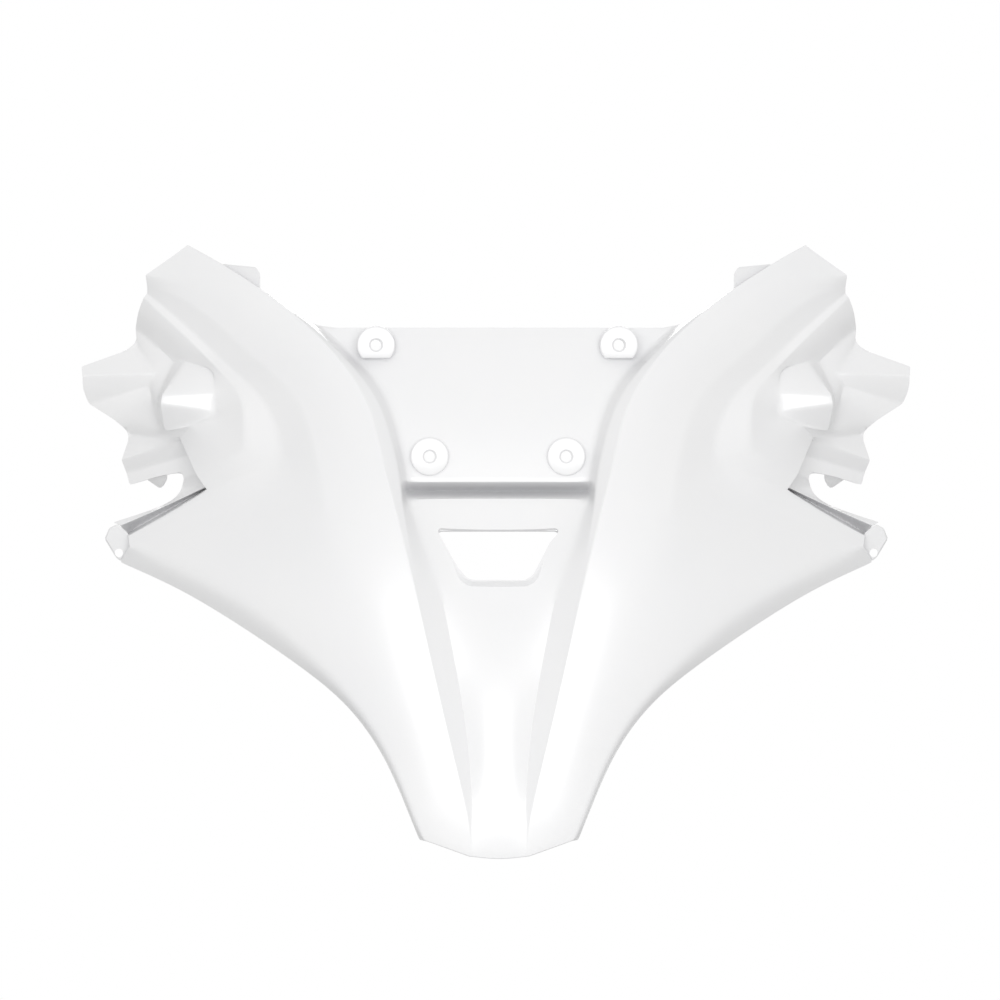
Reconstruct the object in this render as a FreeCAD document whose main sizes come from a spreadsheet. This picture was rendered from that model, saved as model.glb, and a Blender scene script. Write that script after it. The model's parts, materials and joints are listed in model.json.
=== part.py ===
# Headlight cover of a motorbike: one thin moulded skin with bosses, tabs, lugs and a vent window.
# Millimetres. +Z is up, the nose points to -Y, and the origin is midway between the two lower
# bolt holes, on the faces of their bosses.
import FreeCAD, Part
import os
from FreeCAD import Vector

doc = FreeCAD.newDocument("headlight_cover")

# Driving sizes
SIZES = [
    ("overall_width", 500.0),
    ("overall_height", 368.5),
    ("overall_depth", 147.5),
    ("wall", 2.5),
    ("boss_diameter", 23.0),
    ("lower_boss_height", 2.5),
    ("upper_boss_height", 9.8),
    ("boss_back_diameter", 13.0),
    ("boss_back_length", 6.0),
    ("bolt_hole", 6.6),
    ("lower_bolt_spacing", 82.0),
    ("upper_bolt_spacing", 146.0),
    ("upper_bolt_rise", 67.0),
    ("upper_boss_flat_drop", 8.0),
    ("plate_top_margin", 10.5),
    ("plate_lip_drop", 15.5),
    ("window_top_width", 76.0),
    ("window_bottom_width", 38.0),
    ("window_height", 29.7),
    ("window_corner", 5.0),
    ("window_drop", 44.3),
    ("window_lip_spread", 6.0),
    ("window_lip_edge", 0.8),
    ("window_lip_rise", 5.0),
    ("window_upper_cut", 1.1),
    ("nose_return", 6.5),
    ("tab_thickness", 5.0),
    ("tab_hole", 5.0),
    ("tab_hole_spacing", 455.0),
    ("tab_hole_drop", 58.0),
    ("lug_thickness", 3.0),
    ("peg_thickness", 5.0),
]
sheet = doc.addObject("Spreadsheet::Sheet", "Sizes")
for row, (alias, value) in enumerate(SIZES, start=1):
    sheet.set("A%d" % row, alias)
    sheet.set("B%d" % row, str(value))
    sheet.setAlias("B%d" % row, alias)
doc.recompute()


def size(alias):
    return float(sheet.get(alias))


# Control lines of the right half: x from the middle, y backwards, z up from the lower bolts.
# Rows 0 to 17 run from the nose up the arm, and points of the same row lie side by side.
centre = [
    (0, -46.3, -241), (0, -47.5, -219.5), (0, -43.5, -180), (0, -38, -140), (0, -29.5, -104),
    (0, -18, -74), (0, -7.5, -47), (0, -1, -25), (0, 22, -20.5), (0, 0.5, -15.5), (0, 2.5, -4),
    (0, 7, 19), (0, 13.5, 42), (0, 20.5, 64), (0, 25.5, 77.5),
]
floor_middle = [
    (8.5, -46.3, -240.5), (8.5, -47.5, -219), (9, -42.5, -180), (11, -36.5, -140), (14, -28.5, -104),
    (20, -18.5, -74), (33, -9.5, -47), (34, -2.5, -25), (32, 22, -20.5), (28, 0.5, -15.5), (30, 2.5, -4),
    (33, 7, 19), (38, 13.5, 42), (48, 21, 64), (56, 26.5, 77.5),
]
wall_foot = [
    (16, -46.3, -239.5), (16, -46.8, -218.5), (17.2, -39, -180), (23, -33, -140), (30, -27.5, -104),
    (36, -22, -74), (48, -17, -47), (52.5, -8, -25.5), (54, 19, -20.5), (54.5, 1, -15.5), (56, 3.5, -4),
    (60.5, 9.5, 19), (69, 18, 42), (91, 33, 64), (107.5, 40, 77.5), (126, 45, 88.5),
    (141, 50.5, 99.5), (166, 59, 115.5), (187, 69, 126.5),
]
wall_edge = [
    (16.7, -46.3, -239.5), (16.8, -47.3, -218.5), (26.3, -44.8, -180), (35.7, -41.8, -140),
    (43.5, -37.5, -104), (49.5, -32.5, -74), (54.5, -26.5, -48), (57.5, -18.5, -28), (58, -15.7, -21),
    (58.5, -13, -15.5), (60.5, -9, -4), (66, -0.5, 19), (75, 6, 41.5), (96.5, 14.5, 64.3),
    (110.5, 21.5, 78), (125, 29, 88.8), (140.3, 36.5, 100), (165.3, 50, 116), (186.3, 61.5, 127.3),
]
ridge = [
    (17.5, -46.3, -239.5), (17.5, -47.5, -218.5), (27, -45.5, -180), (36.5, -42.5, -140), (44.5, -38.5, -104),
    (51, -34, -74), (57.5, -29, -49), (62.3, -23.5, -29), (64.3, -21, -21), (66, -19, -15), (69, -15, -4),
    (74, -6, 19), (81, 1.5, 40), (99, 11.5, 64), (112.5, 19, 77), (125.5, 26, 88.5), (140.5, 33, 100),
    (165, 46, 116), (186, 58, 127.5),
]
lower_roll = [
    (46.8, -42.5, -229), (53.6, -42, -212.2), (67, -37, -178.4), (88, -30, -147), (115.5, -18, -121),
    (149, 1, -93), (185, 26, -72.5), (221, 58, -54), (221.3, 59.3, -51.8), (221.6, 60.6, -49.7),
    (222, 62, -47.5),
]
lower_edge = [
    (47.5, -36, -229.5), (54.5, -33, -212.5), (68, -27, -179), (89.5, -19, -148.5), (118, -7, -126),
    (155, 15, -101), (191, 40, -79), (227, 70, -63.5),
]
# The shoulder crease starts at row 6, the rim of the lamp pocket at row 10.
shoulder = [
    (101, -20, -53), (103.5, -13.5, -35), (105, -10, -25), (106, -7, -17), (109, -1, -2), (113.5, 8, 17),
    (120.5, 17, 36), (136, 27, 51), (150, 34.5, 63), (161, 40.5, 73), (171.5, 46, 83), (192, 56.5, 98.5),
    (210.5, 70, 102.5),
]
rim = [
    (129.5, 16, 0), (132, 22.5, 17), (140.5, 31.5, 35), (153, 40.5, 47), (165.5, 46.5, 58.5),
    (175, 52, 67.5), (185, 57.5, 77), (200.5, 65.5, 90.5), (210.5, 72.5, 98.5),
]
arm_end = [(186, 58, 127.5), (199, 62, 118), (211.5, 66, 109.5), (210.5, 70, 102.5)]
# Lamp pocket: two sloping facets round a deeper face, with a blunt snout standing in that face.
pocket_inner = [(152.5, 26, 4), (152, 28, 19.5), (153, 34, 34), (159.5, 42.5, 44), (170, 49, 54.5)]
sill_rim = [(129.5, 16, 0), (152, 21.5, -12), (174.5, 36, -20)]
sill_inner = [(152.5, 26, 4), (166, 34.5, -4), (180.8, 45.5, -11)]
sill_foot = [(175, 47.5, 22), (184, 54, 18.5), (191, 66, 12)]
snout_inner = [(175, 47.5, 22), (170.5, 46.5, 24), (169.5, 47.3, 27), (171, 47.6, 38.7), (170.5, 54, 52.5)]
snout_edge = [(184, 54, 18.5), (200.5, 65.5, 15), (203, 49.3, 31.5), (202, 49.6, 37.2), (188, 64.5, 57)]
snout_side = [(191, 66, 12), (203.5, 74.5, 14.5), (205.3, 68.5, 31), (203.5, 67.5, 38), (194.5, 72.5, 57.5)]
# Narrow lip and rounded brow above the pocket, from row 14 to the arm's tip.
lip = [(170, 49, 54.5), (179, 52, 64), (188.5, 57.5, 73.5), (203.5, 65.5, 87), (212.5, 72.5, 96)]
brow_crown = [(182, 56, 61), (191.5, 62, 67), (206.5, 70.5, 80), (216, 77.5, 88)]
brow_edge = [(170.5, 54, 52.5), (188, 64.5, 57), (194.5, 72.5, 57.5), (208, 82, 70), (217.5, 89, 77)]
# Folded side bracket that ends in a spike.
cheek = [(206.5, 75, 50), (211, 82, 58), (216.5, 89, 66.5)]
spike_end = [(249.5, 81.5, 48.5), (250, 84, 51.5), (250, 86.5, 54.5)]
spike_low = [(206.5, 75, 50), (208, 76.5, 46.5), (209.5, 78, 43), (208.5, 75.5, 38)]
spike_low_end = [(249.5, 81.5, 48.5), (249.5, 85.5, 40.5), (245.5, 91.5, 32), (230, 89.5, 22)]
bracket_top = [(220.5, 93.5, 14), (207, 81, 10.5), (191, 66, 12)]
bracket_fold = [(226, 94, -2), (208, 82, 4), (190.3, 72, 9.5)]
bracket_knee = [(223, 100, -9.5), (205, 88, -4.5), (185.5, 78, 1)]
bracket_foot = [(221, 100, -17), (204, 88, -11.5), (189.6, 79, -9)]
# Groove and flange along the wing's upper edge, and the step that joins the flange to the bracket.
wing_top = [(174.5, 36, -20), (198, 49, -34.5), (222, 62, -47.5)]
groove = [(175, 72, -19.5), (199.5, 84, -34), (223.5, 90, -47)]
flange_line = [(175.5, 60, -18.5), (201, 63, -30.5), (226.5, 68, -41.5)]
flange_edge = [(189.5, 69, -18.5), (194, 66, -28), (231, 72, -39.5)]
flange_end = [(179, 72, -8), (188.4, 77, -13.4)]
# Screw tab at the wing's tip, lug behind the arm and wedge-shaped peg under the bracket, in front view. A lean
# is how far a plate falls back on its way down.
tab_outline = [
    (228.5, -40.5), (233.5, -43), (236, -49.5), (229.5, -60.5), (226.5, -63), (219.5, -55), (222, -46),
]
tab_start = (220, 61.5)
tab_end = (236, 64.5)
TAB_LEAN = 0.3
lug_outline = [(139, 97), (142.5, 101), (142.5, 110), (145, 114), (165, 116), (170, 112)]
lug_start = (140, 39)
lug_end = (170, 57)
peg_outline = [(211, -13.5), (203, -19), (201, -18), (198.5, -14), (198, -8), (207, -8)]
PEG_LEAN = 1.5

# Rows counted from the nose
STEPS_TO_WINDOW = 5
STEPS_TO_SHOULDER = 6
STEPS_TO_SLOT = 8
STEPS_TO_LIP = 9
STEPS_TO_BOLTS = 10
STEPS_TO_PLATE_TOP = 14

# The lines are stretched to the overall sizes, and the plate's lip and upper edge follow the bolts.
outermost = centre + ridge + spike_end + bracket_knee
width_stretch = size("overall_width") / 2 / max(x for x, y, z in outermost)
drawn_height = max(z for x, y, z in outermost) - min(z for x, y, z in outermost)
height_stretch = size("overall_height") / drawn_height
drawn_depth = max(y for x, y, z in outermost) - min(y for x, y, z in outermost)
depth_stretch = size("overall_depth") / drawn_depth
plate_depth = centre[STEPS_TO_BOLTS][1]
plate_levels = {
    STEPS_TO_LIP: -size("plate_lip_drop"),
    STEPS_TO_PLATE_TOP: size("upper_bolt_rise") + size("plate_top_margin"),
}
for line in (centre, floor_middle, wall_foot):
    for row, level in plate_levels.items():
        x, y, z = line[row]
        line[row] = (x, y, level / height_stretch)


def placed(point):
    x, y, z = point
    depth = (y - plate_depth) * depth_stretch + size("lower_boss_height")
    return Vector(x * width_stretch, depth, z * height_stretch)


# Cage of control points, quads between them and the edges that stay sharp.
points = []
quads = []
sharp = set()
MERGE = 0.01


def spot(place):
    for index, other in enumerate(points):
        if place.distanceToPoint(other) < MERGE:
            return index
    points.append(place)
    return len(points) - 1


def strip(first, second):
    first = [spot(placed(point)) for point in first]
    second = [spot(placed(point)) for point in second]
    for a, b, c, d in zip(first, second, second[1:], first[1:]):
        quads.append([a, b, c, d])


def crease(line):
    for a, b in zip(line, line[1:]):
        sharp.add(frozenset((spot(placed(a)), spot(placed(b)))))


def across(start, end, share, power):
    point = Vector(start) + (Vector(end) - Vector(start)) * share
    point.y = start[1] + (end[1] - start[1]) * share ** power
    return tuple(point)


def halfway(first, second):
    return [across(a, b, 0.5, 1.0) for a, b in zip(first, second)]


# Lower body and wing: each row runs from the ridge over the shoulder to the lower roll.
ARM_STEPS = 3
WING_STEPS = 5
BODY_CROWN = 2.0
ARM_CROWN = 1.5
body_rows = []
for row, start in enumerate(ridge):
    if row < STEPS_TO_SHOULDER:
        steps = ARM_STEPS + WING_STEPS
        outline = [across(start, lower_roll[row], k / steps, BODY_CROWN) for k in range(steps)]
        outline.append(lower_roll[row])
    else:
        turn = shoulder[row - STEPS_TO_SHOULDER]
        outline = [across(start, turn, k / ARM_STEPS, ARM_CROWN) for k in range(ARM_STEPS)]
        outline.append(turn)
        if row < STEPS_TO_BOLTS:
            end = lower_roll[row]
            outline += [across(turn, end, k / WING_STEPS, 1.0) for k in range(1, WING_STEPS)]
            outline.append(end)
        elif row == STEPS_TO_BOLTS:
            outline += sill_rim + wing_top[1:]
    body_rows.append(outline)
body_rows[-1] = arm_end
for lower, upper in zip(body_rows, body_rows[1:]):
    shared = min(len(lower), len(upper))
    strip(lower[:shared], upper[:shared])

# The nose's lower edge is turned back.
nose_roll = [centre[0], floor_middle[0], wall_foot[0], wall_edge[0]] + body_rows[0]
nose_edge = [(x, y + size("nose_return") / depth_stretch, z) for x, y, z in nose_roll[:-1]] + lower_edge[:1]

# Everything else: strips between neighbouring lines.
face_middle = halfway(pocket_inner, snout_inner)
sill_middle = halfway(sill_inner, sill_foot)
brow_crown.insert(0, face_middle[-1])
for first, second in (
    (centre, floor_middle), (floor_middle, wall_foot), (wall_foot, wall_edge), (wall_edge, ridge),
    (lower_roll, lower_edge), (nose_roll, nose_edge),
    (shoulder[STEPS_TO_BOLTS - STEPS_TO_SHOULDER:], rim), (rim, pocket_inner),
    (rim[STEPS_TO_PLATE_TOP - STEPS_TO_BOLTS:], lip), (lip, brow_crown), (brow_crown, brow_edge),
    (pocket_inner, face_middle), (face_middle, snout_inner), (sill_rim, sill_inner),
    (sill_inner, sill_middle), (sill_middle, sill_foot), (snout_inner, snout_edge),
    (snout_edge, snout_side), (brow_edge[2:], cheek), (cheek, spike_end), (spike_low, spike_low_end),
    (snout_side[:0:-1], spike_low),
    ([spike_low[-1], spike_low_end[-1]], [snout_side[1], bracket_top[0]]),
    ([bracket_top[0], snout_side[1]], bracket_top[1:]),
    (bracket_top, bracket_fold), (bracket_fold, bracket_knee), (bracket_knee, bracket_foot),
    (wing_top, groove), (groove, flange_line), (flange_line, flange_edge),
    ([flange_line[0], flange_edge[0]], flange_end), (flange_end, [bracket_knee[-1], bracket_foot[-1]]),
):
    strip(first, second)

for line in (
    nose_roll, wall_foot[1:], wall_edge[STEPS_TO_WINDOW:], ridge[1:], shoulder[1:], rim, pocket_inner, lip,
    sill_rim, sill_inner, sill_foot, snout_inner, snout_edge, snout_side, brow_edge, cheek, spike_low,
    bracket_top, bracket_fold, bracket_knee, wing_top, flange_line, flange_end,
    [rim[0], pocket_inner[0]], [cheek[0], spike_end[0]], [spike_low[2], spike_low_end[2]],
    [spike_low[3], spike_low_end[3]], [flange_line[0], flange_edge[0]], [bracket_knee[-1], bracket_foot[-1]],
    [snout_inner[2], snout_edge[2]], [snout_inner[3], snout_edge[3]],
):
    crease(line)
for row in (STEPS_TO_SLOT - 1, STEPS_TO_SLOT, STEPS_TO_LIP):
    crease([centre[row], floor_middle[row], wall_foot[row]])

# Left half: the mirror image, with the middle line shared.
mirror = [spot(Vector(-point.x, point.y, point.z)) for point in list(points)]
quads += [[mirror[index] for index in reversed(quad)] for quad in list(quads)]
sharp |= {frozenset(mirror[index] for index in edge) for edge in set(sharp)}


def edges_of(quad):
    return [(quad[k], quad[(k + 1) % 4]) for k in range(4)]


# All quads are turned the same way round, starting from the first, which faces the nose.
neighbours = {}
for number, quad in enumerate(quads):
    for a, b in edges_of(quad):
        neighbours.setdefault(frozenset((a, b)), []).append(number)
turned = {0}
waiting = [0]
while waiting:
    number = waiting.pop()
    for a, b in edges_of(quads[number]):
        for other in neighbours[frozenset((a, b))]:
            if other not in turned:
                if (a, b) in edges_of(quads[other]):
                    quads[other].reverse()
                turned.add(other)
                waiting.append(other)
if len(turned) != len(quads):
    raise RuntimeError("the skin is in more than one piece")


def corner_normal(quad, index, cage):
    k = quad.index(index)
    ahead = cage[quad[(k + 1) % 4]] - cage[index]
    behind = cage[quad[k - 1]] - cage[index]
    return ahead.cross(behind).normalize()


front_is_out = sum(corner_normal(quads[0], index, points).y for index in quads[0]) < 0
if not front_is_out:
    for quad in quads:
        quad.reverse()

# Each point's faces, in sectors that the sharp and free edges part.
free = {edge for edge, owners in neighbours.items() if len(owners) == 1}
hard = sharp | free
faces_at = [[] for point in points]
for number, quad in enumerate(quads):
    for index in quad:
        faces_at[index].append(number)


def sectors(index):
    left = set(faces_at[index])
    groups = []
    while left:
        group = [left.pop()]
        for number in group:
            for edge in edges_of(quads[number]):
                if index in edge and frozenset(edge) not in hard:
                    for other in neighbours[frozenset(edge)]:
                        if other in left:
                            left.discard(other)
                            group.append(other)
        groups.append(group)
    return groups


# The inner skin lies one wall behind the outer one, mitred at the folds.
MITRE_ROUNDS = 60
MITRE_LIMIT = 1.7
wall = size("wall")
inner_points = []
for index, point in enumerate(points):
    normals = []
    for group in sectors(index):
        total = Vector()
        for number in group:
            total += corner_normal(quads[number], index, points)
        normals.append(total.normalize())
    shift = Vector()
    for turn in range(MITRE_ROUNDS):
        for normal in normals:
            shift -= normal * (normal.dot(shift) + wall)
    if shift.Length > MITRE_LIMIT * wall:
        shift *= MITRE_LIMIT * wall / shift.Length
    inner_points.append(point + shift)

# Points where a sharp line ends or turns hard keep their place, and other sharp lines are smooth curves.
STRAIGHT_ENOUGH = -0.6
hard_at = [[] for point in points]
for edge in hard:
    a, b = edge
    hard_at[a].append(b)
    hard_at[b].append(a)


def is_corner(index):
    ends = hard_at[index]
    if len(ends) < 2:
        return False
    if len(ends) > 2 or len(faces_at[index]) == 1:
        return True
    arms = [(points[end] - points[index]).normalize() for end in ends]
    return arms[0].dot(arms[1]) > STRAIGHT_ENOUGH


fixed = [is_corner(index) for index in range(len(points))]


def middle(vectors):
    return sum(vectors[1:], vectors[0]) * (1.0 / len(vectors))


def inside_pole(number, index, cage):
    quad = quads[number]
    k = quad.index(index)
    beside = cage[quad[(k + 1) % 4]] + cage[quad[k - 1]]
    opposite = cage[quad[(k + 2) % 4]]
    weight = 4 if hard_at[index] else len(faces_at[index])
    return (cage[index] * weight + beside * 2 + opposite) * (1.0 / (weight + 5))


def corner_pole(index, cage):
    if fixed[index]:
        return cage[index]
    if len(hard_at[index]) == 2:
        first, second = hard_at[index]
        return (cage[first] + cage[index] * 4 + cage[second]) * (1.0 / 6)
    return middle([inside_pole(number, index, cage) for number in faces_at[index]])


def edge_pole(start, end, cage):
    edge = frozenset((start, end))
    if edge in hard:
        return (cage[start] * 2 + cage[end]) * (1.0 / 3)
    return middle([inside_pole(number, start, cage) for number in neighbours[edge]])


def patch(number, cage):
    a, b, c, d = quads[number]
    poles = [
        [corner_pole(a, cage), edge_pole(a, d, cage), edge_pole(d, a, cage), corner_pole(d, cage)],
        [edge_pole(a, b, cage), inside_pole(number, a, cage), inside_pole(number, d, cage),
         edge_pole(d, c, cage)],
        [edge_pole(b, a, cage), inside_pole(number, b, cage), inside_pole(number, c, cage),
         edge_pole(c, d, cage)],
        [corner_pole(b, cage), edge_pole(b, c, cage), edge_pole(c, b, cage), corner_pole(c, cage)],
    ]
    surface = Part.BSplineSurface()
    surface.buildFromPolesMultsKnots(poles, (4, 4), (4, 4), (0, 1), (0, 1), False, False, 3, 3)
    return surface.toShape()


def rim_face(start, end):
    poles = []
    for cage in (points, inner_points):
        poles.append([corner_pole(start, cage), edge_pole(start, end, cage),
                      edge_pole(end, start, cage), corner_pole(end, cage)])
    surface = Part.BSplineSurface()
    surface.buildFromPolesMultsKnots(poles, (2, 2), (4, 4), (0, 1), (0, 1), False, False, 1, 3)
    return surface.toShape()


faces = [patch(number, cage) for cage in (points, inner_points) for number in range(len(quads))]
faces += [rim_face(*edge) for edge in free]
shell = Part.makeCompound(faces)
shell.sewShape()
skin_shape = Part.makeSolid(shell.Shells[0])
if skin_shape.Volume < 0:
    skin_shape.reverse()
skin = doc.addObject("Part::Feature", "Skin")
skin.Shape = skin_shape

# Places on the skin, found by looking along Y
SIGHT = 1000.0
ALONG_Y = FreeCAD.Rotation(Vector(1, 0, 0), -90)


def front_of_skin(x, z):
    sight_line = Part.makeLine(Vector(x, -SIGHT, z), Vector(x, SIGHT, z))
    return min(vertex.Y for vertex in skin_shape.common(sight_line).Vertexes)


def rod(name, x, y, z, radius, length):
    cylinder = doc.addObject("Part::Cylinder", name)
    cylinder.setExpression("Radius", radius)
    cylinder.setExpression("Height", length)
    cylinder.Placement = FreeCAD.Placement(Vector(x, y, z), ALONG_Y)
    return cylinder


def block(name, x, y, z, width, thickness, height):
    box = doc.addObject("Part::Box", name)
    box.setExpression("Length", width)
    box.setExpression("Width", thickness)
    box.setExpression("Height", height)
    box.Placement.Base = Vector(x, y, z)
    return box


added = [skin]
removed = []

# Screw bosses of the plate: a wide face in front, a narrow socket behind, and a bolt hole through both.
# The upper pair is cut off flat below.
BOSS_RUN_OUT = 3.0
HOLE_MARGIN = 20.0
for level, rise in (("lower", 0.0), ("upper", size("upper_bolt_rise"))):
    for side, sign in (("left", -1), ("right", 1)):
        x = sign * size(level + "_bolt_spacing") / 2
        seat = front_of_skin(x, rise)
        face = 0.0 if level == "lower" else seat - size(level + "_boss_height")
        name = "%s_%s" % (level, side)
        boss = rod(name + "_boss", x, face, rise, "Sizes.boss_diameter / 2",
                   "%f + Sizes.wall + %f" % (seat - face, BOSS_RUN_OUT))
        if level == "upper":
            flat = block(name + "_flat", x - size("boss_diameter") / 2, face,
                         rise - size("upper_boss_flat_drop") - size("boss_diameter"),
                         "Sizes.boss_diameter", "Sizes.upper_boss_height - Sizes.wall / 2",
                         "Sizes.boss_diameter")
            cut_boss = doc.addObject("Part::Cut", name + "_cut_boss")
            cut_boss.Base = boss
            cut_boss.Tool = flat
            boss = cut_boss
        added.append(boss)
        added.append(rod(name + "_socket", x, seat, rise, "Sizes.boss_back_diameter / 2",
                         "Sizes.wall + Sizes.boss_back_length"))
        removed.append(rod(name + "_hole", x, face - HOLE_MARGIN, rise, "Sizes.bolt_hole / 2",
                           "%f" % (seat - face + HOLE_MARGIN * 3)))

# Vent window in the channel floor, open along Y. A low lip stands round its sides and foot, and runs out
# at its upper edge, which is cut back so that its thickness shows.
lower_end = placed(centre[STEPS_TO_WINDOW])
upper_end = placed(centre[STEPS_TO_WINDOW + 1])
floor_slope = (upper_end.y - lower_end.y) / (upper_end.z - lower_end.z)
window_top = -size("window_drop")
floor_top = lower_end.y + floor_slope * (window_top - lower_end.z)
lip_slope = floor_slope + size("window_lip_rise") / size("window_height")
WINDOW_REACH = 60.0


def window_outline(grow, level, slope, rise=0.0):
    corner = size("window_corner") + grow / 2
    half_top = size("window_top_width") / 2 + grow - corner
    half_bottom = size("window_bottom_width") / 2 + grow - corner
    upper = window_top + rise - corner
    lower = window_top - size("window_height") - grow + corner
    path = [Vector(-half_top, 0, upper), Vector(half_top, 0, upper),
            Vector(half_bottom, 0, lower), Vector(-half_bottom, 0, lower)]
    outline = Part.Face(Part.makePolygon(path + path[:1])).makeOffset2D(corner, 0).OuterWire
    lean = FreeCAD.Matrix()
    lean.A23 = slope
    lean.A24 = level - slope * window_top
    return outline.transformGeometry(lean)


window_lip = doc.addObject("Part::Feature", "window_lip")
window_lip.Shape = Part.makeLoft([
    window_outline(size("window_lip_edge"), floor_top + size("window_lip_edge"), lip_slope),
    window_outline(size("window_lip_spread"), floor_top + wall, floor_slope),
], True, True)
added.append(window_lip)
upper_cut = size("window_upper_cut")
window_opening = doc.addObject("Part::Feature", "window_opening")
opening_face = Part.Face(window_outline(0.0, floor_top - WINDOW_REACH, 0.0, -upper_cut))
window_opening.Shape = opening_face.extrude(Vector(0, WINDOW_REACH * 2, 0))
window_mouth = doc.addObject("Part::Feature", "window_mouth")
window_mouth.Shape = Part.makeLoft([
    window_outline(-upper_cut / 3, floor_top - wall, 0.0, upper_cut),
    window_outline(-upper_cut / 3, floor_top + wall * 1.5, 0.0, -upper_cut * 1.4),
], True, True)
removed += [window_opening, window_mouth]

# Screw tabs on the wing tips, lugs behind the arms and wedge-shaped pegs under the brackets: flat plates
# that keep their front view along Y.


def plate(name, outline, start, end, thickness, sign, lean=0.0):
    (start_x, start_y), (end_x, end_y) = start, end
    top = max(z for x, z in outline)
    corners = []
    for x, z in outline:
        y = start_y + (end_y - start_y) * (x - start_x) / (end_x - start_x) + lean * (top - z)
        corner = placed((x, y, z))
        corner.x *= sign
        corners.append(corner)
    feature = doc.addObject("Part::Feature", name)
    feature.Shape = Part.Face(Part.makePolygon(corners + corners[:1])).extrude(Vector(0, thickness, 0))
    return feature


PEG_SINK = 0.5
peg_ends = [(x, y + PEG_SINK) for x, y, z in bracket_foot[:2]]
tab_hole_start = placed((0, tab_start[1], 0)).y - HOLE_MARGIN
for side, sign in (("left", -1), ("right", 1)):
    tab = plate(side + "_tab", tab_outline, tab_start, tab_end, size("tab_thickness"), sign, TAB_LEAN)
    lug = plate(side + "_lug", lug_outline, lug_start, lug_end, size("lug_thickness"), sign)
    peg = plate(side + "_peg", peg_outline, *peg_ends, size("peg_thickness"), sign, PEG_LEAN)
    added += [tab, lug, peg]
    removed.append(rod(side + "_tab_hole", sign * size("tab_hole_spacing") / 2, tab_hole_start,
                       -size("tab_hole_drop"), "Sizes.tab_hole / 2", "%f" % (HOLE_MARGIN * 3)))

# One moulding
moulding = doc.addObject("Part::MultiFuse", "moulding")
moulding.Shapes = added
drilling = doc.addObject("Part::MultiFuse", "drilling")
drilling.Shapes = removed
cover = doc.addObject("Part::Cut", "cover")
cover.Base = moulding
cover.Tool = drilling
cover.Label = "headlight_cover"
doc.recompute()

for item in doc.Objects:
    if "Invalid" in item.State or "Error" in item.State:
        raise RuntimeError("%s failed" % item.Name)
if cover.Shape.isNull() or not cover.Shape.isValid() or len(cover.Shape.Solids) != 1:
    raise RuntimeError("the cover is not one sound solid: %d" % len(cover.Shape.Solids))

os.makedirs("parts", exist_ok=True)
cover.Shape.exportStep("parts/%s.step" % cover.Label)
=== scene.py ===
import bpy
import json
import math
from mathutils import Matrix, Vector


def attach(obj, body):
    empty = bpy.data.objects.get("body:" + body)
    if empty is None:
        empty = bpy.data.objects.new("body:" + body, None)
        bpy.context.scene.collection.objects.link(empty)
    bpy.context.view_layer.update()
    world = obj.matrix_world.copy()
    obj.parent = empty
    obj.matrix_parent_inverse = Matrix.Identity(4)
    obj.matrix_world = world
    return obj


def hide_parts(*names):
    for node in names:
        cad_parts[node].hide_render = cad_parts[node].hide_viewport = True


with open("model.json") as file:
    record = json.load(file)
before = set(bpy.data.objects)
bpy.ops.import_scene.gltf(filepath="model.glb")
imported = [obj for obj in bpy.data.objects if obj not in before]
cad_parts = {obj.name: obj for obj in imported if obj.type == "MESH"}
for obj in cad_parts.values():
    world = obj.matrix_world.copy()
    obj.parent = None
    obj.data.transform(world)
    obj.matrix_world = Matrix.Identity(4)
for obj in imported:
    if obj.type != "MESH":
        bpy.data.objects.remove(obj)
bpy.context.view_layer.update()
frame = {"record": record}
mounts = {mount["name"]: mount for mount in frame["record"]["mounts"]}

# Skin of the cover: one injection moulding in glossy white plastic, with a wall of 2.5 mm.
# Control lines of its right half, in millimetres, run from the nose up to the arm's tip: x from the
# middle, y backwards, z up from the lower bolts. Points with the same place in their lines lie side by side.
MM = 0.001
WALL = 2.5 * MM
centre = [
    (0, -46.3, -241), (0, -47.5, -219.5), (0, -43.5, -180), (0, -38, -140), (0, -29.5, -104),
    (0, -18, -74), (0, -7.5, -47), (0, -1, -25), (0, 22, -20.5), (0, 0.5, -15.5), (0, 2.5, -4),
    (0, 7, 19), (0, 13.5, 42), (0, 20.5, 64), (0, 25.5, 77.5),
]
floor_middle = [
    (8.5, -46.3, -240.5), (8.5, -47.5, -219), (9, -42.5, -180), (11, -36.5, -140), (14, -28.5, -104),
    (20, -18.5, -74), (33, -9.5, -47), (34, -2.5, -25), (32, 22, -20.5), (28, 0.5, -15.5), (30, 2.5, -4),
    (33, 7, 19), (38, 13.5, 42), (48, 21, 64), (56, 26.5, 77.5),
]
wall_foot = [
    (16, -46.3, -239.5), (16, -46.8, -218.5), (17.2, -39, -180), (23, -33, -140), (30, -27.5, -104),
    (36, -22, -74), (48, -17, -47), (52.5, -8, -25.5), (54, 19, -20.5), (54.5, 1, -15.5), (56, 3.5, -4),
    (60.5, 9.5, 19), (69, 18, 42), (91, 33, 64), (107.5, 40, 77.5), (126, 45, 88.5),
    (141, 50.5, 99.5), (166, 59, 115.5), (187, 69, 126.5),
]
wall_edge = [
    (16.7, -46.3, -239.5), (16.8, -47.3, -218.5), (26.3, -44.8, -180), (35.7, -41.8, -140),
    (43.5, -37.5, -104), (49.5, -32.5, -74), (54.5, -26.5, -48), (57.5, -18.5, -28), (58, -15.7, -21),
    (58.5, -13, -15.5), (60.5, -9, -4), (66, -0.5, 19), (75, 6, 41.5), (96.5, 14.5, 64.3),
    (110.5, 21.5, 78), (125, 29, 88.8), (140.3, 36.5, 100), (165.3, 50, 116), (186.3, 61.5, 127.3),
]
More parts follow.
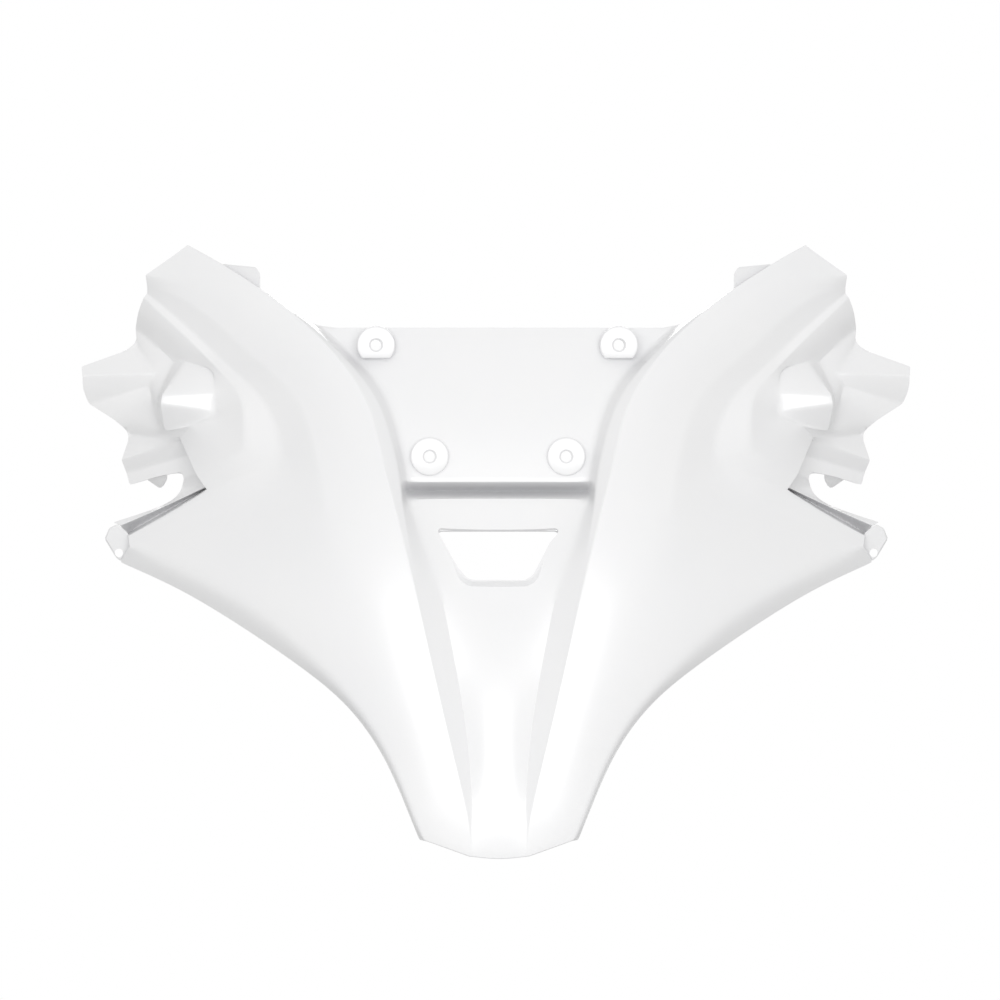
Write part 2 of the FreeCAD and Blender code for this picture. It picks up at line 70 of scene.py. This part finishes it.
ridge = [
    (17.5, -46.3, -239.5), (17.5, -47.5, -218.5), (27, -45.5, -180), (36.5, -42.5, -140), (44.5, -38.5, -104),
    (51, -34, -74), (57.5, -29, -49), (62.3, -23.5, -29), (64.3, -21, -21), (66, -19, -15), (69, -15, -4),
    (74, -6, 19), (81, 1.5, 40), (99, 11.5, 64), (112.5, 19, 77), (125.5, 26, 88.5), (140.5, 33, 100),
    (165, 46, 116), (186, 58, 127.5),
]
lower_roll = [
    (46.8, -42.5, -229), (53.6, -42, -212.2), (67, -37, -178.4), (88, -30, -147), (115.5, -18, -121),
    (149, 1, -93), (185, 26, -72.5), (221, 58, -54), (221.3, 59.3, -51.8), (221.6, 60.6, -49.7),
    (222, 62, -47.5),
]
lower_edge = [
    (47.5, -36, -229.5), (54.5, -33, -212.5), (68, -27, -179), (89.5, -19, -148.5), (118, -7, -126),
    (155, 15, -101), (191, 40, -79), (227, 70, -63.5),
]
# The shoulder crease starts at row 6, the rim of the lamp pocket at row 10.
shoulder = [
    (101, -20, -53), (103.5, -13.5, -35), (105, -10, -25), (106, -7, -17), (109, -1, -2), (113.5, 8, 17),
    (120.5, 17, 36), (136, 27, 51), (150, 34.5, 63), (161, 40.5, 73), (171.5, 46, 83), (192, 56.5, 98.5),
    (210.5, 70, 102.5),
]
rim = [
    (129.5, 16, 0), (132, 22.5, 17), (140.5, 31.5, 35), (153, 40.5, 47), (165.5, 46.5, 58.5),
    (175, 52, 67.5), (185, 57.5, 77), (200.5, 65.5, 90.5), (210.5, 72.5, 98.5),
]
arm_end = [(186, 58, 127.5), (199, 62, 118), (211.5, 66, 109.5), (210.5, 70, 102.5)]
# Lamp pocket: two sloping facets round a deeper face, with a blunt snout standing in that face.
pocket_inner = [(152.5, 26, 4), (152, 28, 19.5), (153, 34, 34), (159.5, 42.5, 44), (170, 49, 54.5)]
sill_rim = [(129.5, 16, 0), (152, 21.5, -12), (174.5, 36, -20)]
sill_inner = [(152.5, 26, 4), (166, 34.5, -4), (180.8, 45.5, -11)]
sill_foot = [(175, 47.5, 22), (184, 54, 18.5), (191, 66, 12)]
snout_inner = [(175, 47.5, 22), (170.5, 46.5, 24), (169.5, 47.3, 27), (171, 47.6, 38.7), (170.5, 54, 52.5)]
snout_edge = [(184, 54, 18.5), (200.5, 65.5, 15), (203, 49.3, 31.5), (202, 49.6, 37.2), (188, 64.5, 57)]
snout_side = [(191, 66, 12), (203.5, 74.5, 14.5), (205.3, 68.5, 31), (203.5, 67.5, 38), (194.5, 72.5, 57.5)]
# Narrow lip and rounded brow above the pocket, from row 14 to the arm's tip.
lip = [(170, 49, 54.5), (179, 52, 64), (188.5, 57.5, 73.5), (203.5, 65.5, 87), (212.5, 72.5, 96)]
brow_crown = [(182, 56, 61), (191.5, 62, 67), (206.5, 70.5, 80), (216, 77.5, 88)]
brow_edge = [(170.5, 54, 52.5), (188, 64.5, 57), (194.5, 72.5, 57.5), (208, 82, 70), (217.5, 89, 77)]
# Folded side bracket that ends in a spike.
cheek = [(206.5, 75, 50), (211, 82, 58), (216.5, 89, 66.5)]
spike_end = [(249.5, 81.5, 48.5), (250, 84, 51.5), (250, 86.5, 54.5)]
spike_low = [(206.5, 75, 50), (208, 76.5, 46.5), (209.5, 78, 43), (208.5, 75.5, 38)]
spike_low_end = [(249.5, 81.5, 48.5), (249.5, 85.5, 40.5), (245.5, 91.5, 32), (230, 89.5, 22)]
bracket_top = [(220.5, 93.5, 14), (207, 81, 10.5), (191, 66, 12)]
bracket_fold = [(226, 94, -2), (208, 82, 4), (190.3, 72, 9.5)]
bracket_knee = [(223, 100, -9.5), (205, 88, -4.5), (185.5, 78, 1)]
bracket_foot = [(221, 100, -17), (204, 88, -11.5), (189.6, 79, -9)]
# Groove and flange along the wing's upper edge, and the step that joins the flange to the bracket.
wing_top = [(174.5, 36, -20), (198, 49, -34.5), (222, 62, -47.5)]
groove = [(175, 72, -19.5), (199.5, 84, -34), (223.5, 90, -47)]
flange_line = [(175.5, 60, -18.5), (201, 63, -30.5), (226.5, 68, -41.5)]
flange_edge = [(189.5, 69, -18.5), (194, 66, -28), (231, 72, -39.5)]
flange_end = [(179, 72, -8), (188.4, 77, -13.4)]

# The cage of one half: quads between the lines, with the rows between two creases crowned a little. The
# folds say how sharp the mould is along each line, and all the rest of the skin is drawn smooth.
SLOT_ROWS = (7, 8, 9)
VENT_ROW = 5
SHOULDER_ROW = 6
BOLT_ROW = 10
PLATE_TOP_ROW = 14
ARM_STEPS = 3
WING_STEPS = 5
NOSE_CROWN = 2.0
ARM_CROWN = 1.5
FLAT = 1.0
NOSE_RETURN = 6.5
SAME_PLACE = 0.01
points = []
quads = []
folds = {}


def spot(point):
    place = Vector(point)
    for index, other in enumerate(points):
        if (place - other).length < SAME_PLACE:
            return index
    points.append(place)
    return len(points) - 1


def strip(first, second):
    for a, b, c, d in zip(first, second, second[1:], first[1:]):
        quads.append([spot(a), spot(b), spot(c), spot(d)])


def fold(line, sharpness):
    for a, b in zip(line, line[1:]):
        folds[frozenset((spot(a), spot(b)))] = sharpness


def across(start, end, share, crown):
    place = Vector(start).lerp(Vector(end), share)
    place.y = start[1] + (end[1] - start[1]) * share ** crown
    return tuple(place)


def halfway(first, second):
    return [tuple((Vector(a) + Vector(b)) / 2) for a, b in zip(first, second)]


rows = []
for row, start in enumerate(ridge):
    if row < SHOULDER_ROW:
        steps = ARM_STEPS + WING_STEPS
        outline = [across(start, lower_roll[row], k / steps, NOSE_CROWN) for k in range(steps)]
        outline.append(lower_roll[row])
    else:
        turn = shoulder[row - SHOULDER_ROW]
        outline = [across(start, turn, k / ARM_STEPS, ARM_CROWN) for k in range(ARM_STEPS)]
        outline.append(turn)
        if row < BOLT_ROW:
            end = lower_roll[row]
            outline += [across(turn, end, k / WING_STEPS, FLAT) for k in range(1, WING_STEPS)]
            outline.append(end)
        elif row == BOLT_ROW:
            outline += sill_rim + wing_top[1:]
    rows.append(outline)
rows[-1] = arm_end
for lower, upper in zip(rows, rows[1:]):
    shared = min(len(lower), len(upper))
    strip(lower[:shared], upper[:shared])

nose_roll = [centre[0], floor_middle[0], wall_foot[0], wall_edge[0]] + rows[0]
nose_edge = [(x, y + NOSE_RETURN, z) for x, y, z in nose_roll[:-1]] + lower_edge[:1]
face_middle = halfway(pocket_inner, snout_inner)
sill_middle = halfway(sill_inner, sill_foot)
brow_crown.insert(0, face_middle[-1])
for first, second in (
    (centre, floor_middle), (floor_middle, wall_foot), (wall_foot, wall_edge), (wall_edge, ridge),
    (lower_roll, lower_edge), (nose_roll, nose_edge),
    (shoulder[BOLT_ROW - SHOULDER_ROW:], rim), (rim, pocket_inner), (rim[PLATE_TOP_ROW - BOLT_ROW:], lip),
    (lip, brow_crown), (brow_crown, brow_edge), (pocket_inner, face_middle), (face_middle, snout_inner),
    (sill_rim, sill_inner), (sill_inner, sill_middle), (sill_middle, sill_foot),
    (snout_inner, snout_edge), (snout_edge, snout_side), (brow_edge[2:], cheek), (cheek, spike_end),
    (spike_low, spike_low_end), (snout_side[:0:-1], spike_low),
    ([spike_low[-1], spike_low_end[-1]], [snout_side[1], bracket_top[0]]),
    ([bracket_top[0], snout_side[1]], bracket_top[1:]),
    (bracket_top, bracket_fold), (bracket_fold, bracket_knee), (bracket_knee, bracket_foot),
    (wing_top, groove), (groove, flange_line), (flange_line, flange_edge),
    ([flange_line[0], flange_edge[0]], flange_end), (flange_end, [bracket_knee[-1], bracket_foot[-1]]),
):
    strip(first, second)

SHARP = 1.0
KEEN = 0.75
ROUNDED = 0.55
SOFT = 0.4
HARD_TURN = -0.6
SEAM = 0.02 * MM
for line in (ridge[1:], shoulder[1:], wing_top, flange_line, brow_edge, snout_side, cheek, lip, bracket_fold,
             bracket_knee, bracket_top, sill_foot, spike_low, wall_edge[VENT_ROW:], nose_roll):
    fold(line, ROUNDED)
for line in (rim, sill_rim, pocket_inner, sill_inner, snout_inner, snout_edge):
    fold(line, KEEN)
fold(wall_foot[1:VENT_ROW + 1], SHARP)
fold(wall_foot[VENT_ROW:], SOFT)
for row in SLOT_ROWS:
    fold([centre[row], floor_middle[row], wall_foot[row]], ROUNDED)
for pair in ([rim[0], pocket_inner[0]], [cheek[0], spike_end[0]], [spike_low[2], spike_low_end[2]],
             [spike_low[3], spike_low_end[3]], [flange_line[0], flange_edge[0]], flange_end,
             [snout_inner[2], snout_edge[2]], [snout_inner[3], snout_edge[3]],
             [bracket_knee[-1], bracket_foot[-1]]):
    fold(pair, KEEN)

bpy.ops.object.select_all(action="DESELECT")
skin_mesh = bpy.data.meshes.new("cover")
skin_mesh.from_pydata([place * MM for place in points], [], quads)
cover = bpy.data.objects.new("cover", skin_mesh)
bpy.context.collection.objects.link(cover)
cover.select_set(True)
bpy.context.view_layer.objects.active = cover
bpy.ops.object.mode_set(mode="EDIT")
bpy.ops.mesh.select_all(action="SELECT")
bpy.ops.mesh.normals_make_consistent(inside=False)
bpy.ops.object.mode_set(mode="OBJECT")
if sum(face.normal.y * face.area for face in skin_mesh.polygons) > 0:
    skin_mesh.flip_normals()

edge_fold = skin_mesh.attributes.new("crease_edge", "FLOAT", "EDGE")
corner_fold = skin_mesh.attributes.new("crease_vert", "FLOAT", "POINT")
uses = {}
for quad in quads:
    for k in range(4):
        key = frozenset((quad[k], quad[k - 1]))
        uses[key] = uses.get(key, 0) + 1
ends = {}
for edge in skin_mesh.edges:
    key = frozenset(edge.vertices)
    on_middle = all(abs(points[index].x) < SAME_PLACE for index in key)
    free = uses[key] == 1 and not on_middle
    edge_fold.data[edge.index].value = KEEN if free else folds.get(key, 0.0)
    if free or key in folds:
        a, b = key
        ends.setdefault(a, []).append(points[b] - points[a])
        ends.setdefault(b, []).append(points[a] - points[b])
for index, arms in ends.items():
    turns_hard = len(arms) == 2 and arms[0].normalized().dot(arms[1].normalized()) > HARD_TURN
    corner_fold.data[index].value = KEEN if turns_hard else 0.0


def finish(piece, kind, **settings):
    bpy.context.view_layer.objects.active = piece
    modifier = piece.modifiers.new(kind.lower(), kind)
    for name, value in settings.items():
        setattr(modifier, name, value)
    bpy.ops.object.modifier_apply(modifier=modifier.name)


finish(cover, "MIRROR", use_axis=(True, False, False), use_clip=True, merge_threshold=SEAM)
finish(cover, "SOLIDIFY", thickness=WALL, offset=-1.0, use_even_offset=True, use_quality_normals=True,
       thickness_clamp=1.0, use_thickness_angle_clamp=True,
       edge_crease_inner=KEEN, edge_crease_outer=KEEN, edge_crease_rim=0.0)
finish(cover, "SUBSURF", levels=3, render_levels=3)

# Bosses: round bolting pads on the plate with a narrow socket behind, moulded in one with the skin.
# The upper pair is cut off flat below. Each has a hole for its bolt, eased at the mouth.
BOSS_RADIUS = 11.5 * MM
BOSS_BASE = 3.0 * MM
BOSS_EDGE = 1.0 * MM
SOCKET_RADIUS = 6.5 * MM
SOCKET_LENGTH = 4.0 * MM
UPPER_FLAT = 8.0 * MM
UPPER_PAD = 12.0 * MM
LOWER_PAD = 5.0 * MM
EASE = 1.0 * MM
ROUND_STEPS = 64
OUT_OF_PLATE = math.radians(90)
added = []
sockets = []
holes = []
mouths = []


def pick(piece, wanted):
    bpy.ops.object.mode_set(mode="EDIT")
    bpy.ops.mesh.select_mode(type="VERT")
    bpy.ops.mesh.select_all(action="DESELECT")
    bpy.ops.object.mode_set(mode="OBJECT")
    for vertex in piece.data.vertices:
        vertex.select = wanted(vertex.co)
    bpy.ops.object.mode_set(mode="EDIT")


def rod(x, front, back, z, radius, mouth=None):
    bpy.ops.object.select_all(action="DESELECT")
    place = (x, (front + back) / 2, z)
    if mouth is None:
        bpy.ops.mesh.primitive_cylinder_add(vertices=ROUND_STEPS, radius=radius, depth=back - front,
                                            location=place, rotation=(OUT_OF_PLATE, 0, 0))
    else:
        bpy.ops.mesh.primitive_cone_add(vertices=ROUND_STEPS, radius1=radius, radius2=mouth,
                                        depth=back - front, location=place, rotation=(OUT_OF_PLATE, 0, 0))
    piece = bpy.context.object
    bpy.ops.object.transform_apply()
    return piece


for name, pad in (("lower_bolts", LOWER_PAD), ("upper_bolts", UPPER_PAD)):
    middle = Vector(mounts[name]["pos_m"])
    hole = mounts[name]["dims"]["hole_r_mm"] * MM
    for sign in (-1, 1):
        x = sign * mounts[name]["dims"]["spacing_x_mm"] * MM / 2
        plate_front = middle.y + pad
        boss = rod(x, middle.y, plate_front + BOSS_BASE, middle.z, BOSS_RADIUS)
        if name == "upper_bolts":
            bpy.ops.object.mode_set(mode="EDIT")
            bpy.ops.mesh.select_all(action="SELECT")
            bpy.ops.mesh.bisect(plane_co=(x, 0, middle.z - UPPER_FLAT), plane_no=(0, 0, 1),
                                use_fill=True, clear_inner=True)
            bpy.ops.object.mode_set(mode="OBJECT")
        pick(boss, lambda place: place.y < middle.y + EASE / 10)
        bpy.ops.mesh.bevel(offset=BOSS_EDGE, segments=3)
        bpy.ops.object.mode_set(mode="OBJECT")
        added.append(boss)
        sockets.append(rod(x, plate_front + BOSS_BASE / 2, plate_front + BOSS_BASE + SOCKET_LENGTH, middle.z,
                           SOCKET_RADIUS))
        holes.append(rod(x, middle.y - EASE, plate_front + SOCKET_LENGTH * 2, middle.z, hole))
        mouths.append(rod(x, middle.y - EASE, middle.y + EASE * 2, middle.z, hole - EASE, hole + EASE * 2))

# Vent window: a rounded opening through the channel floor, whose upper edge falls towards the back. A low
# lip of the same plastic stands round its sides and foot, and runs out at its upper edge.
WINDOW_TOP = 38 * MM
WINDOW_BOTTOM = 19 * MM
WINDOW_UPPER = -44.3 * MM
WINDOW_LOWER = -74 * MM
WINDOW_CORNER = 5 * MM
CORNER_STEPS = 10
LIP_SPREAD = 6 * MM
LIP_EDGE = 0.8 * MM
LIP_RISE = 5 * MM
WINDOW_REACH = 20 * MM
UPPER_FALL = 7.5 * MM
upper_end = Vector(centre[6]) * MM
lower_end = Vector(centre[5]) * MM
FLOOR_SLOPE = (upper_end.y - lower_end.y) / (upper_end.z - lower_end.z)


def window_face(grow, level, slope, rise=0.0):
    bpy.ops.object.select_all(action="DESELECT")
    bpy.ops.mesh.primitive_plane_add(size=2)
    piece = bpy.context.object
    for vertex in piece.data.vertices:
        upper = vertex.co.y > 0
        half = (WINDOW_TOP if upper else WINDOW_BOTTOM) + grow
        edge = WINDOW_UPPER + rise if upper else WINDOW_LOWER - grow
        vertex.co = (math.copysign(half, vertex.co.x), 0, edge)
    bpy.ops.object.mode_set(mode="EDIT")
    bpy.ops.mesh.select_all(action="SELECT")
    bpy.ops.mesh.bevel(offset=WINDOW_CORNER + grow / 2, segments=CORNER_STEPS, affect="VERTICES")
    bpy.ops.object.mode_set(mode="OBJECT")
    for vertex in piece.data.vertices:
        vertex.co.y = level + slope * (vertex.co.z - WINDOW_UPPER)
    return piece


def loft(near, far):
    bpy.ops.object.select_all(action="DESELECT")
    far.select_set(True)
    near.select_set(True)
    bpy.context.view_layer.objects.active = near
    bpy.ops.object.join()
    bpy.ops.object.mode_set(mode="EDIT")
    bpy.ops.mesh.select_all(action="SELECT")
    bpy.ops.mesh.bridge_edge_loops()
    bpy.ops.mesh.select_all(action="SELECT")
    bpy.ops.mesh.normals_make_consistent(inside=False)
    bpy.ops.object.mode_set(mode="OBJECT")
    return near


window_height = WINDOW_UPPER - WINDOW_LOWER
floor_top = lower_end.y + FLOOR_SLOPE * (WINDOW_UPPER - lower_end.z)
lip_slope = FLOOR_SLOPE + LIP_RISE / window_height
added.append(loft(window_face(LIP_EDGE, floor_top + LIP_EDGE, lip_slope),
                  window_face(LIP_SPREAD, floor_top + WALL, FLOOR_SLOPE)))
holes.append(loft(window_face(0, floor_top - WINDOW_REACH, 0, UPPER_FALL),
                  window_face(0, floor_top + WINDOW_REACH, 0, -UPPER_FALL)))

# Wing tabs, arm lugs and pegs: flat plates moulded in one with the skin, for screws and for the panels
# beside the cover. Each outline is its front view (x, z), and each run gives y at two places along x.
tab_outline = [
    (228.5, -40.5), (233.5, -43), (236, -49.5), (229.5, -60.5), (226.5, -63), (219.5, -55), (222, -46),
]
lug_outline = [(139, 97), (142.5, 101), (142.5, 110), (145, 114), (165, 116), (170, 112)]
peg_outline = [(211, -13.5), (203, -19), (201, -18), (198.5, -14), (198, -8), (207, -8)]
tab_run = [(220, 61.5), (236, 64.5)]
lug_run = [(140, 39), (170, 57)]
peg_run = [(221, 100.5), (204, 88.5)]
TAB_THICKNESS = 5 * MM
LUG_THICKNESS = 3 * MM
PEG_THICKNESS = 5 * MM
TAB_LEAN = 0.3
PEG_LEAN = 1.5
PLATE_EDGE = 0.8 * MM
HOLE_FRONT = 10 * MM
HOLE_BACK = 20 * MM


def plate(outline, run, thickness, sign, lean=0.0):
    bpy.ops.object.select_all(action="DESELECT")
    near, far = run
    slope = (far[1] - near[1]) / (far[0] - near[0])
    top = max(z for x, z in outline)
    corners = [(sign * x * MM, (near[1] + slope * (x - near[0]) + lean * (top - z)) * MM, z * MM)
               for x, z in outline]
    flat = bpy.data.meshes.new("plate")
    flat.from_pydata(corners, [], [range(len(corners))])
    piece = bpy.data.objects.new("plate", flat)
    bpy.context.collection.objects.link(piece)
    bpy.context.view_layer.objects.active = piece
    piece.select_set(True)
    bpy.ops.object.mode_set(mode="EDIT")
    bpy.ops.mesh.select_all(action="SELECT")
    bpy.ops.mesh.extrude_region_move(TRANSFORM_OT_translate={"value": (0, thickness, 0)})
    bpy.ops.mesh.select_all(action="SELECT")
    bpy.ops.mesh.normals_make_consistent(inside=False)
    bpy.ops.mesh.bevel(offset=PLATE_EDGE, segments=1)
    bpy.ops.object.mode_set(mode="OBJECT")
    return piece


tab_hole = mounts["wing_tab_screws"]
for sign in (-1, 1):
    added.append(plate(tab_outline, tab_run, TAB_THICKNESS, sign, TAB_LEAN))
    added.append(plate(lug_outline, lug_run, LUG_THICKNESS, sign))
    added.append(plate(peg_outline, peg_run, PEG_THICKNESS, sign, PEG_LEAN))
    x = sign * tab_hole["dims"]["spacing_x_mm"] * MM / 2
    y, z = tab_hole["pos_m"][1:]
    holes.append(rod(x, y - HOLE_FRONT, y + HOLE_BACK, z, tab_hole["dims"]["hole_r_mm"] * MM))

# The moulding in one: pads, lip and plates are melted into the skin, then the openings are cut. Points
# that the cuts leave closer than the weld are drawn together, many-sided faces are split into triangles,
# and rounded faces are shaded smooth.
WELD = 0.05 * MM
SMOOTH_BELOW = math.radians(30)
for pieces, operation in ((added, "UNION"), (sockets, "UNION"),
                          (holes, "DIFFERENCE"), (mouths, "DIFFERENCE")):
    bpy.ops.object.select_all(action="DESELECT")
    for piece in pieces:
        piece.select_set(True)
    bpy.context.view_layer.objects.active = pieces[0]
    bpy.ops.object.join()
    finish(cover, "BOOLEAN", operation=operation, object=pieces[0], solver="MANIFOLD")
    bpy.data.objects.remove(pieces[0])
bpy.ops.object.select_all(action="DESELECT")
cover.select_set(True)
bpy.context.view_layer.objects.active = cover
bpy.ops.object.mode_set(mode="EDIT")
bpy.ops.mesh.select_all(action="SELECT")
bpy.ops.mesh.remove_doubles(threshold=WELD)
bpy.ops.mesh.dissolve_degenerate(threshold=WELD)
bpy.ops.mesh.select_mode(type="FACE")
bpy.ops.mesh.select_face_by_sides(number=4, type="GREATER", extend=False)
bpy.ops.mesh.quads_convert_to_tris(quad_method="BEAUTY", ngon_method="BEAUTY")
bpy.ops.object.mode_set(mode="OBJECT")
bpy.ops.object.shade_smooth_by_angle(angle=SMOOTH_BELOW)

# White gloss: the plastic's tone drifts a little as it flowed in the mould, the gloss is uneven by a few
# hundredths, and a fine orange peel lies over it. Deep corners get painted shade: the colour turns greyer
# there.
COOL_WHITE = (0.845, 0.847, 0.856, 1)
WARM_WHITE = (0.878, 0.876, 0.874, 1)
PAINTED_SHADE_GREY = (0.81, 0.81, 0.82, 1)
PAINTED_SHADE_REACH = 14 * MM
PEEL_HEIGHT = 0.1 * MM
gloss = bpy.data.materials.new("white_gloss_plastic")
gloss.use_nodes = True
nodes = gloss.node_tree.nodes
links = gloss.node_tree.links
shader = nodes["Principled BSDF"]
shader.inputs["Coat Weight"].default_value = 0.5
shader.inputs["Coat Roughness"].default_value = 0.22
on_cover = nodes.new("ShaderNodeTexCoord")


def grain(scale, detail):
    noise = nodes.new("ShaderNodeTexNoise")
    noise.inputs["Scale"].default_value = scale
    noise.inputs["Detail"].default_value = detail
    links.new(on_cover.outputs["Object"], noise.inputs["Vector"])
    return noise.outputs["Fac"]


def blend(factor, first, second):
    mix = nodes.new("ShaderNodeMix")
    mix.data_type = "RGBA"
    for socket, colour in zip(mix.inputs[6:8], (first, second)):
        if isinstance(colour, tuple):
            socket.default_value = colour
        else:
            links.new(colour, socket)
    links.new(factor, mix.inputs[0])
    return mix.outputs[2]


flow = blend(grain(14, 3), COOL_WHITE, WARM_WHITE)
# Painted shade: ambient occlusion greys the base colour in deep corners, recesses and round the pads.
shade_occlusion = nodes.new("ShaderNodeAmbientOcclusion")
shade_occlusion.samples = 8
shade_occlusion.inputs["Distance"].default_value = PAINTED_SHADE_REACH
painted_shade = nodes.new("ShaderNodeMapRange")
painted_shade.inputs["From Min"].default_value = 0.25
painted_shade.inputs["From Max"].default_value = 0.8
links.new(shade_occlusion.outputs["AO"], painted_shade.inputs["Value"])
links.new(blend(painted_shade.outputs["Result"], PAINTED_SHADE_GREY, flow), shader.inputs["Base Color"])
polish = nodes.new("ShaderNodeMapRange")
polish.inputs["To Min"].default_value = 0.28
polish.inputs["To Max"].default_value = 0.38
links.new(grain(60, 4), polish.inputs["Value"])
links.new(polish.outputs["Result"], shader.inputs["Roughness"])
peel = nodes.new("ShaderNodeBump")
peel.inputs["Strength"].default_value = 0.06
peel.inputs["Distance"].default_value = PEEL_HEIGHT
links.new(grain(420, 2), peel.inputs["Height"])
links.new(peel.outputs["Normal"], shader.inputs["Normal"])
cover.data.materials.clear()
cover.data.materials.append(gloss)
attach(cover, "root")
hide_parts("headlight_cover")

# Stage: a plain pale floor below the nose, a white surround that is brighter in front and above, and a
# soft light before and behind the cover. The camera stands far off, straight in front.
FLOOR_LEVEL = -0.36
FLOOR_SIZE = 2.2
PALE = (0.86, 0.86, 0.86, 1)
BRIGHT_SIDE = (0, -0.75, 0.66)
bpy.ops.object.select_all(action="DESELECT")
bpy.ops.mesh.primitive_plane_add(size=FLOOR_SIZE, location=(0, 0, FLOOR_LEVEL))
floor = bpy.context.object
bpy.ops.object.transform_apply()
floor.name = "floor"
pale = bpy.data.materials.new("pale_floor")
pale.use_nodes = True
paint = pale.node_tree.nodes["Principled BSDF"]
paint.inputs["Base Color"].default_value = PALE
paint.inputs["Roughness"].default_value = 0.9
floor.data.materials.append(pale)

world = bpy.data.worlds.new("surround")
bpy.context.scene.world = world
world.use_nodes = True
tree = world.node_tree
ray = tree.nodes.new("ShaderNodeLightPath")
direction = tree.nodes.new("ShaderNodeTexCoord")
towards = tree.nodes.new("ShaderNodeVectorMath")
towards.operation = "DOT_PRODUCT"
towards.inputs[1].default_value = BRIGHT_SIDE
bright = tree.nodes.new("ShaderNodeMapRange")
for name, value in (("From Min", -1.0), ("From Max", 1.0), ("To Min", 0.1), ("To Max", 0.8)):
    bright.inputs[name].default_value = value
strength = tree.nodes.new("ShaderNodeMix")
strength.inputs["B"].default_value = 1.0
tree.links.new(direction.outputs["Generated"], towards.inputs[0])
tree.links.new(towards.outputs["Value"], bright.inputs["Value"])
straight = tree.nodes.new("ShaderNodeMath")
straight.operation = "MAXIMUM"
seen = tree.nodes.new("ShaderNodeMath")
seen.operation = "MAXIMUM"
tree.links.new(ray.outputs["Is Glossy Ray"], straight.inputs[0])
tree.links.new(ray.outputs["Is Transmission Ray"], straight.inputs[1])
tree.links.new(ray.outputs["Is Camera Ray"], seen.inputs[0])
tree.links.new(straight.outputs["Value"], seen.inputs[1])
tree.links.new(seen.outputs["Value"], strength.inputs["Factor"])
tree.links.new(bright.outputs["Result"], strength.inputs["A"])
tree.links.new(strength.outputs["Result"], tree.nodes["Background"].inputs["Strength"])
tree.nodes["Background"].inputs["Color"].default_value = (1, 1, 1, 1)


def lamp(name, place, width, height, power):
    bpy.ops.object.light_add(type="AREA", location=place)
    light = bpy.context.object
    light.name = name
    light.data.shape = "RECTANGLE"
    light.data.size = width
    light.data.size_y = height
    light.data.energy = power
    light.visible_camera = False
    light.rotation_euler = (-Vector(place)).to_track_quat("-Z", "Y").to_euler()


lamp("front_softbox", (0, -3.0, 0.3), width=2.3, height=0.9, power=36)
lamp("back_softbox", (0, 2.6, 1.0), width=1.6, height=0.9, power=14)

CAMERA_DISTANCE = 15.0
CAMERA_TURN = math.radians(0.8)
LOOK_X = 1.2 * MM
LOOK_Z = -26.1 * MM
FIELD_WIDTH = 600 * MM
SENSOR_WIDTH = 36
bpy.ops.object.camera_add(location=(LOOK_X - CAMERA_DISTANCE * math.sin(CAMERA_TURN),
                                    -CAMERA_DISTANCE * math.cos(CAMERA_TURN), LOOK_Z),
                          rotation=(math.radians(90), 0, -CAMERA_TURN))
camera = bpy.context.object
camera.data.sensor_width = SENSOR_WIDTH
camera.data.lens = SENSOR_WIDTH * CAMERA_DISTANCE / FIELD_WIDTH
bpy.context.scene.camera = camera
bpy.context.scene.view_settings.view_transform = "Standard"
